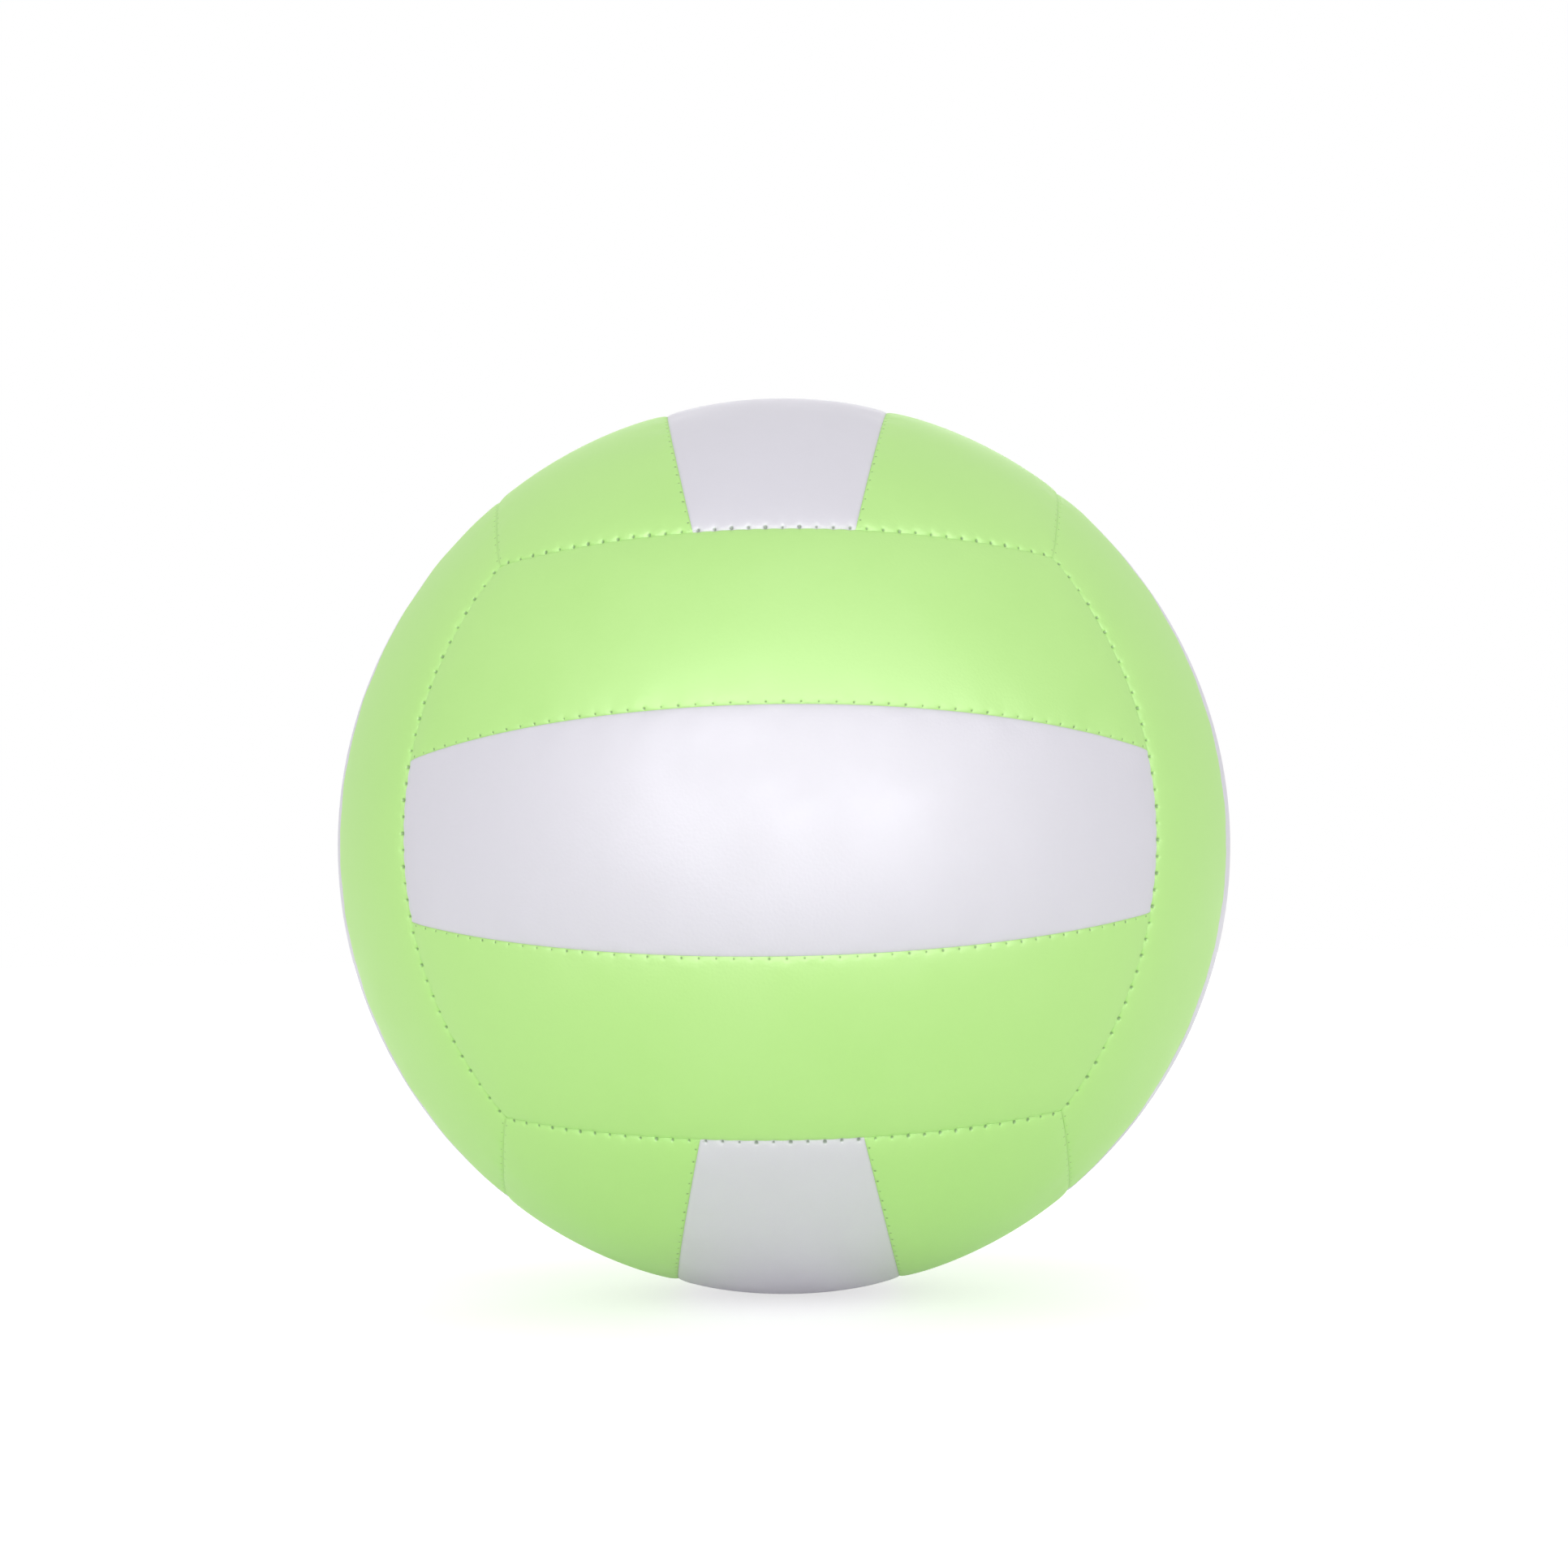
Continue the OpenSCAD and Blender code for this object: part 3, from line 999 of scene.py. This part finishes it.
def mottle_group() -> bpy.types.NodeTree:
    """Builds the faint cloudy unevenness of dyed and handled surfaces.

    Returns:
        A group that puts out a mask from 0 to 1.
    """
    inputs = {"Vector": ("NodeSocketVector", None), "Size": ("NodeSocketFloat", 30.0)}
    shader, ends = make_group("mottle", inputs, {"Mask": "NodeSocketFloat"})
    # The middle part of the noise, which becomes the whole of the mask
    low, high = 0.32, 0.68
    scale = shader.math("DIVIDE", PER_METRE, ends["in"]["Size"])
    noise = {"Vector": ends["in"]["Vector"], "Scale": scale, "Detail": 4.0, "Roughness": 0.6}
    broad = shader.add("ShaderNodeTexNoise", noise)
    mask = shader.fade(broad.outputs["Fac"], low, high, 0.0, 1.0)
    shader.tree.links.new(mask, ends["out"].inputs["Mask"])
    return shader.tree


def needle_group() -> bpy.types.NodeTree:
    """Builds the holes that the needle left beside a seam, each a little different. The mask sinks them
    by bump and darkens them with painted shade on the leather.

    Returns:
        A group that puts out a mask from 0 to 1.
    """
    inputs = {
        "Vector": ("NodeSocketVector", None),
        "Pitch": ("NodeSocketFloat", 3.65),
        "Inset": ("NodeSocketFloat", 0.5),
        "Size": ("NodeSocketFloat", 0.35),
    }
    shader, ends = make_group("needle_holes", inputs, {"Mask": "NodeSocketFloat"})
    count, inside, size = shader.add("ShaderNodeSeparateXYZ", {0: ends["in"]["Vector"]}).outputs
    away = shader.math("MULTIPLY", shader.math("PINGPONG", count, 0.5), ends["in"]["Pitch"])
    across = shader.math("SUBTRACT", inside, ends["in"]["Inset"])
    # The smallest and largest hole beside a middling one, the fade of a hole's rim from inside to outside
    # in millimetres, and the sizes at which holes start to show and show in full
    small, large = 0.8, 1.25
    inner, outer = -0.3, 0.12
    faint, full = 0.1, 0.4
    squares = shader.math("ADD", shader.math("POWER", away, 2.0), shader.math("MULTIPLY", across, across))
    number = shader.math("ROUND", count)
    chance = shader.add("ShaderNodeTexWhiteNoise", {"W": number}, noise_dimensions="1D")
    spread = shader.fade(chance.outputs["Value"], 0.0, 1.0, small, large)
    radius = shader.math("MULTIPLY", shader.math("MULTIPLY", size, spread), ends["in"]["Size"])
    rim = shader.math("SUBTRACT", shader.math("SQRT", squares), radius)
    shape = shader.fade(rim, inner, outer, 1.0, 0.0)
    mask = shader.math("MULTIPLY", shape, shader.fade(size, faint, full, 0.0, 1.0))
    shader.tree.links.new(mask, ends["out"].inputs["Mask"])
    return shader.tree


def weave_group() -> bpy.types.NodeTree:
    """Builds the crossing yarns of a plain weave.

    Returns:
        A group that puts out a height.
    """
    inputs = {"Vector": ("NodeSocketVector", None), "Pitch": ("NodeSocketFloat", 0.6)}
    shader, ends = make_group("plain_weave", inputs, {"Height": "NodeSocketFloat"})
    # How high the crossings and the yarns themselves stand
    crossing, yarn = 0.5, 0.4
    scale = shader.math("DIVIDE", PER_METRE * math.pi, ends["in"]["Pitch"])
    axes = shader.add("ShaderNodeSeparateXYZ", {0: ends["in"]["Vector"]})
    waves = [shader.math("SINE", shader.math("MULTIPLY", axes.outputs[i], scale)) for i in range(3)]
    crossed = shader.math("MULTIPLY", shader.math("MULTIPLY", waves[0], waves[1]), waves[2])
    yarns = [shader.math("ABSOLUTE", wave) for wave in waves]
    ridges = shader.math("ADD", shader.math("ADD", yarns[0], yarns[1]), yarns[2])
    crossed = shader.math("MULTIPLY", crossed, crossing)
    height = shader.math("ADD", crossed, shader.math("MULTIPLY", ridges, yarn))
    shader.tree.links.new(height, ends["out"].inputs["Height"])
    return shader.tree


@dataclass(frozen=True)
class Effects:
    """The shader groups that the finishes share."""

    grain: bpy.types.NodeTree
    mottle: bpy.types.NodeTree
    weave: bpy.types.NodeTree
    needle: bpy.types.NodeTree


def new_material(name: str) -> tuple[bpy.types.Material, Shader, bpy.types.Node, Socket]:
    """Starts a material.

    Args:
        name: The material's name.

    Returns:
        The material, its shader, its Principled node and the object's coordinates.
    """
    material = bpy.data.materials.new(name)
    material.use_nodes = True
    material.node_tree.nodes.clear()
    shader = Shader(material.node_tree)
    surface = shader.add("ShaderNodeBsdfPrincipled")
    output = shader.add("ShaderNodeOutputMaterial")
    shader.tree.links.new(surface.outputs["BSDF"], output.inputs["Surface"])
    place = shader.add("ShaderNodeTexCoord").outputs["Object"]
    return material, shader, surface, place


@dataclass(frozen=True)
class LeatherFinish:
    """Soft coated synthetic leather. The sizes of its patterns are in millimetres."""

    name: str
    colour: Colour
    # The colour of the painted shade in the groove along each seam and in the needle holes
    painted_shade_colour: Colour
    worn: Colour
    roughness: float = 0.53
    specular: float = 0.75
    cloud_size: float = 34.0
    cloud_share: float = 0.5
    # How much smoother and rougher the clouds make it
    cloud_gloss: tuple[float, float] = (-0.03, 0.05)
    # How near a seam the painted shade of the groove begins, and how dark it gets
    groove_start: float = 0.8
    groove_shade: float = 0.14
    # The needle holes' size and how dark their painted shade gets, and the strength and depth of their
    # bump
    hole_size: float = 0.38
    hole_shade: float = 0.9
    hole_bump: float = 0.6
    hole_depth: float = 0.2 * MM
    grain_cell: float = 0.62
    grain_pores: float = 0.35
    grain_bump: float = 0.3
    grain_depth: float = 0.08 * MM

    def material(self, effects: Effects) -> bpy.types.Material:
        """Builds the finish.

        Args:
            effects: The shared shader groups.

        Returns:
            The material.
        """
        material, shader, surface, place = new_material(self.name)
        cloud = shader.effect(effects.mottle, place, Size=self.cloud_size)
        wear = shader.math("MULTIPLY", cloud, self.cloud_share)
        base = shader.mix(wear, (*self.colour, 1), (*self.worn, 1))
        seam = shader.add("ShaderNodeAttribute", attribute_name="seam").outputs["Fac"]
        sewing = shader.add("ShaderNodeAttribute", attribute_name="sewing").outputs["Vector"]
        # Painted shade: the leather darkens in the groove along each seam and in the needle holes
        groove = shader.fade(seam, self.groove_start, 1.0, 0.0, self.groove_shade)
        hole = shader.effect(effects.needle, sewing, Size=self.hole_size)
        dark = shader.math("MAXIMUM", groove, shader.math("MULTIPLY", hole, self.hole_shade))
        grain = shader.effect(effects.grain, place, Cell=self.grain_cell, Pores=self.grain_pores)
        pit = {"Height": hole, "Strength": self.hole_bump, "Distance": self.hole_depth}
        pit["Normal"] = shader.bump(grain, self.grain_bump, self.grain_depth)
        smooth, rough = (self.roughness + change for change in self.cloud_gloss)
        inputs = {
            "Base Color": shader.mix(dark, base, (*self.painted_shade_colour, 1)),
            "Normal": shader.add("ShaderNodeBump", pit, invert=True).outputs["Normal"],
            "Roughness": shader.fade(cloud, 0.0, 1.0, smooth, rough),
            "Specular IOR Level": self.specular,
        }
        shader.feed(surface, inputs)
        return material


@dataclass(frozen=True)
class YarnFinish:
    """Waxed twisted thread."""

    name: str
    colour: Colour
    # The width of a ply in millimetres, how fuzzy it is, and the brightness of the painted shade between
    # the plies
    ply: float = 0.45
    fuzz: float = 0.8
    shade: float = 0.6
    # How far the fuzz lifts the painted shade back to the full colour where the grain stands high
    light: float = 0.5
    bump: float = 0.5
    depth: float = 0.1 * MM
    roughness: float = 0.62

    def material(self, effects: Effects) -> bpy.types.Material:
        """Builds the finish.

        Args:
            effects: The shared shader groups.

        Returns:
            The material.
        """
        material, shader, surface, place = new_material(self.name)
        fuzz = shader.effect(effects.grain, place, Cell=self.ply, Pores=self.fuzz)
        # Painted shade between the plies, and painted light where the grain stands high
        shaded = tuple(self.shade * part for part in self.colour)
        lit = shader.math("MULTIPLY", fuzz, self.light)
        inputs = {
            "Base Color": shader.mix(lit, (*shaded, 1), (*self.colour, 1)),
            "Normal": shader.bump(fuzz, self.bump, self.depth),
            "Roughness": self.roughness,
        }
        shader.feed(surface, inputs)
        return material


@dataclass(frozen=True)
class RubberFinish:
    """Matt rubber or foam, moulded."""

    name: str
    colour: Colour
    bloom: Colour
    roughness: float
    # The sizes of its grain and of its bloom's clouds, in millimetres
    cell: float
    cloud_size: float = 18.0
    pores: float = 0.6
    bump: float = 0.3
    depth: float = 0.1 * MM

    def material(self, effects: Effects) -> bpy.types.Material:
        """Builds the finish.

        Args:
            effects: The shared shader groups.

        Returns:
            The material.
        """
        material, shader, surface, place = new_material(self.name)
        cloud = shader.effect(effects.mottle, place, Size=self.cloud_size)
        grain = shader.effect(effects.grain, place, Cell=self.cell, Pores=self.pores)
        inputs = {
            "Base Color": shader.mix(cloud, (*self.colour, 1), (*self.bloom, 1)),
            "Normal": shader.bump(grain, self.bump, self.depth),
            "Roughness": self.roughness,
        }
        shader.feed(surface, inputs)
        return material


@dataclass(frozen=True)
class ClothFinish:
    """Plain woven cloth."""

    name: str
    colour: Colour
    # The colour of the painted shade between the yarns
    shade: Colour
    # The distance from yarn to yarn in millimetres, and the heights between which the painted shade gives
    # way to full colour
    pitch: float = 0.7
    low: float = 0.2
    high: float = 1.1
    bump: float = 0.6
    depth: float = 0.2 * MM
    roughness: float = 0.85
    sheen: float = 0.2

    def material(self, effects: Effects) -> bpy.types.Material:
        """Builds the finish.

        Args:
            effects: The shared shader groups.

        Returns:
            The material.
        """
        material, shader, surface, place = new_material(self.name)
        weave = shader.effect(effects.weave, place, Pitch=self.pitch)
        # Painted shade in the weave's hollows, full colour on its crowns
        lit = shader.fade(weave, self.low, self.high, 0.0, 1.0)
        inputs = {
            "Base Color": shader.mix(lit, (*self.shade, 1), (*self.colour, 1)),
            "Normal": shader.bump(weave, self.bump, self.depth),
            "Roughness": self.roughness,
            "Sheen Weight": self.sheen,
        }
        shader.feed(surface, inputs)
        return material


@dataclass(frozen=True)
class Lamp:
    """A soft lamp that faces the ball."""

    name: str
    place: tuple[float, float, float]
    # The width and height of its face, and its power in watts
    size: tuple[float, float]
    power: float
    # Whether it only shows as the sheen on the leather
    is_sheen: bool = False

    def hang(self) -> None:
        """Hangs the lamp."""
        data = bpy.data.lights.new(self.name, "AREA")
        data.shape = "RECTANGLE"
        data.size, data.size_y = self.size
        data.energy = self.power
        lamp = bpy.data.objects.new(self.name, data)
        bpy.context.scene.collection.objects.link(lamp)
        lamp.location = self.place
        lamp.visible_diffuse = not self.is_sheen
        lamp.rotation_mode = "QUATERNION"
        lamp.rotation_quaternion = (-Vector(self.place)).to_track_quat("-Z", "Y")


LAMPS = (
    Lamp("front_softbox", (0.0, -1.5, 0.0), (0.6, 0.6), 4.8),
    Lamp("left_softbox", (-1.0, -1.15, 0.0), (0.6, 0.6), 0.9),
    Lamp("right_softbox", (1.0, -1.15, 0.1), (0.6, 0.6), 0.7),
    Lamp("top_softbox", (0.0, -0.5, 1.5), (1.2, 1.2), 1.4),
    Lamp("back_softbox", (0.0, 1.5, 0.45), (0.8, 0.8), 4.0),
    Lamp("sheen_softbox", (0.15, -1.45, 0.2), (2.8, 1.6), 72.0, is_sheen=True),
)


@dataclass
class Studio:
    """The floor, the lamps and the camera."""

    radius: float
    # How the ball is turned as the camera sees it, in degrees about X, Y and Z
    pose: tuple[float, float, float] = (-1.87, -0.78, -0.88)
    distance_share: float = 6.88
    # Pixels of the photograph: its width, the focal length, and the ball's middle under the frame's
    frame_px: float = 1932
    focal_px: float = 3756
    drop_px: float = 76.6
    sensor: float = 36
    # The nearest and the farthest that the camera sees, in metres
    near: float = 0.05
    far: float = 50
    floor_radius: float = 20
    floor_edges: int = 96
    # The floor's own glow as the camera sees it: its least strength, under the ball, and the distances in
    # the ball's radii between which it rises to 1
    glow: float = 0.66
    glow_start: float = 0.6
    glow_end: float = 2.2
    # How much light the floor throws back on the ball, and how much of the lamps' light shows on it
    bounce: float = 0.95
    lit: float = 0.55
    # The strength of the white surround where it only lights the ball
    surround: float = 0.61

    def place_camera(self) -> None:
        """Sets the camera where the photograph was taken."""
        turn = Vector([math.radians(d) for d in self.pose])
        ball = Matrix.Rotation(turn.length, 3, turn.normalized())
        data = bpy.data.cameras.new("camera")
        data.sensor_width = self.sensor
        data.lens = self.focal_px / self.frame_px * self.sensor
        data.shift_y = self.drop_px / self.frame_px
        data.clip_start, data.clip_end = self.near, self.far
        camera = bpy.data.objects.new("camera", data)
        bpy.context.scene.collection.objects.link(camera)
        looking = Matrix(((1, 0, 0), (0, 0, -1), (0, 1, 0)))
        back = ball.transposed()
        place = back @ Vector((0, -self.distance_share * self.radius, 0))
        camera.matrix_world = Matrix.Translation(place) @ (back @ looking).to_4x4()
        bpy.context.scene.camera = camera

    def lay_floor(self) -> None:
        """Lays the pale floor that the ball rests on."""
        bpy.ops.object.select_all(action="DESELECT")
        bpy.ops.mesh.primitive_circle_add(
            vertices=self.floor_edges,
            radius=self.floor_radius,
            fill_type="NGON",
            location=(0, 0, -self.radius),
        )
        floor = bpy.context.active_object
        floor.name = "studio_floor"
        material = bpy.data.materials.new("studio_floor")
        material.use_nodes = True
        shader = Shader(material.node_tree)
        shader.tree.nodes.clear()
        place = shader.add("ShaderNodeTexCoord").outputs["Object"]
        away = shader.add("ShaderNodeVectorMath", {0: place}, operation="LENGTH").outputs["Value"]
        start, end = self.glow_start * self.radius, self.glow_end * self.radius
        lift = shader.fade(away, start, end, self.glow, 1.0)
        plain = shader.add("ShaderNodeBsdfDiffuse", {"Color": (*[self.bounce] * 3, 1)})
        glow = shader.add("ShaderNodeEmission", {"Color": (1, 1, 1, 1), "Strength": lift})
        pale = shader.add("ShaderNodeBsdfDiffuse", {"Color": (*[self.lit] * 3, 1)})
        both = shader.add("ShaderNodeAddShader", {0: pale.outputs[0], 1: glow.outputs[0]})
        path = shader.add("ShaderNodeLightPath")
        seen = shader.math("MAXIMUM", path.outputs["Is Camera Ray"], path.outputs["Is Glossy Ray"])
        mix = shader.add("ShaderNodeMixShader", {0: seen, 1: plain.outputs[0], 2: both.outputs[0]})
        output = shader.add("ShaderNodeOutputMaterial")
        shader.tree.links.new(mix.outputs[0], output.inputs["Surface"])
        floor.data.materials.append(material)

    def light(self) -> None:
        """Hangs soft lamps and a white surround."""
        world = bpy.data.worlds.new("studio")
        bpy.context.scene.world = world
        world.use_nodes = True
        shader = Shader(world.node_tree)
        shader.tree.nodes.clear()
        path = shader.add("ShaderNodeLightPath")
        seen = shader.math("MAXIMUM", path.outputs["Is Camera Ray"], path.outputs["Is Transmission Ray"])
        seen = shader.math("MAXIMUM", seen, path.outputs["Is Glossy Ray"])
        values = {"Value": seen, "To Min": self.surround, "To Max": 1.0}
        strength = shader.add("ShaderNodeMapRange", values).outputs["Result"]
        white = {"Color": (1, 1, 1, 1), "Strength": strength}
        background = shader.add("ShaderNodeBackground", white)
        output = shader.add("ShaderNodeOutputWorld")
        shader.tree.links.new(background.outputs[0], output.inputs["Surface"])
        for lamp in LAMPS:
            lamp.hang()


@dataclass(frozen=True)
class Finishes:
    """Every finish of the ball, built once."""

    green: bpy.types.Material
    white: bpy.types.Material
    thread: bpy.types.Material
    foam: bpy.types.Material
    rubber: bpy.types.Material
    cloth: bpy.types.Material

    @classmethod
    def build(cls) -> "Finishes":
        """Mixes the colours of the ball and builds its materials."""
        effects = Effects(grain_group(), mottle_group(), weave_group(), needle_group())
        green = LeatherFinish("green_leather", (0.54, 0.93, 0.27), (0.16, 0.3, 0.1), (0.57, 0.94, 0.3))
        white = LeatherFinish("white_leather", (0.82, 0.8, 0.88), (0.14, 0.19, 0.13), (0.79, 0.77, 0.84))
        thread = YarnFinish("waxed_thread", (0.16, 0.24, 0.12))
        foam = RubberFinish("eva_foam", (0.78, 0.78, 0.75), (0.7, 0.7, 0.66), 0.9, 0.5)
        rubber = RubberFinish("butyl_rubber", (0.022, 0.022, 0.024), (0.05, 0.05, 0.052), 0.6, 0.3)
        cloth = ClothFinish("lining_cloth", (0.8, 0.76, 0.66), (0.52, 0.48, 0.38))
        return cls(*(finish.material(effects) for finish in (green, white, thread, foam, rubber, cloth)))


def sew_panels(panel: Panel, valve: Valve, finishes: Finishes) -> None:
    """Sews the panels and sets the valve in the one at the back.

    Args:
        panel: How panels are made.
        valve: The valve.
        finishes: The finishes of the ball.
    """
    blanks = {Strip.FIRST: panel.blank(Strip.FIRST), Strip.MIDDLE: panel.blank(Strip.MIDDLE)}
    blanks[Strip.LAST] = blanks[Strip.FIRST]
    places = [(face, strip) for face in FACES for strip in Strip]
    for seed, (face, strip) in enumerate(places, 1):
        name = f"{face.name}_{face.strips[strip.value]}"
        has_valve = name == VALVE_PANEL
        piece = panel.make(blanks[strip], face, strip, seed, has_valve)
        if has_valve:
            valve.build(piece, face.turned(), finishes.rubber)
        if strip is Strip.MIDDLE:
            hand_over(piece, "white_skin", finishes.white, f"{name}_panel")
        else:
            hand_over(piece, "green_skin", finishes.green, f"{name}_panel")
    for blank in set(blanks.values()):
        bpy.data.objects.remove(blank)


def thread_seams(sewing: SeamThread, material: bpy.types.Material) -> None:
    """Threads every seam of the ball.

    Args:
        sewing: How seams are threaded.
        material: The finish of the thread.
    """
    for face in FACES:
        sides = (face.turned(), face.turned(is_last=True))
        for neighbour, side in zip(face.neighbours, sides):
            name = f"{face.name}_{neighbour}"
            piece = sewing.make(f"{name}_stitching", [(sewing.layout.edge_seam(face), side)])
            hand_over(piece, "thread", material, f"{name}_seam_thread")
        seam = sewing.layout.strip_seam(math.pi / 2, 1)
        piece = sewing.make(f"{face.name}_strip_stitching", [(seam, side) for side in sides])
        hand_over(piece, "thread", material, f"{face.name}_strip_threads")


def dress_inside(nodes: dict[str, bpy.types.Object], finishes: Finishes) -> None:
    """Dresses the solids that are shown as they are: foam, lining, bladder and its patch.

    Args:
        nodes: The frame's solids by name.
        finishes: The finishes of the ball.
    """
    for name, node in nodes.items():
        if name.endswith("_foam"):
            dress(node, finishes.foam)
    dress(nodes["cloth_lining"], finishes.cloth)
    for name in ("bladder", "bladder_patch"):
        dress(nodes[name], finishes.rubber)


def main() -> None:
    """Builds the ball's pieces, its finishes and the studio."""
    logging.basicConfig(level=logging.INFO, format="%(message)s")
    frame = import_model()
    radius = GIRTH / math.tau
    studio = Studio(radius)
    studio.place_camera()
    studio.lay_floor()
    studio.light()
    finishes = Finishes.build()
    layout = Layout(radius)
    sew_panels(Panel(layout), Valve(radius), finishes)
    thread_seams(SeamThread(layout), finishes.thread)
    dress_inside(frame["nodes"], finishes)


if __name__ == "__main__":
    bpy.context.scene.view_settings.view_transform = "Standard"
    main()
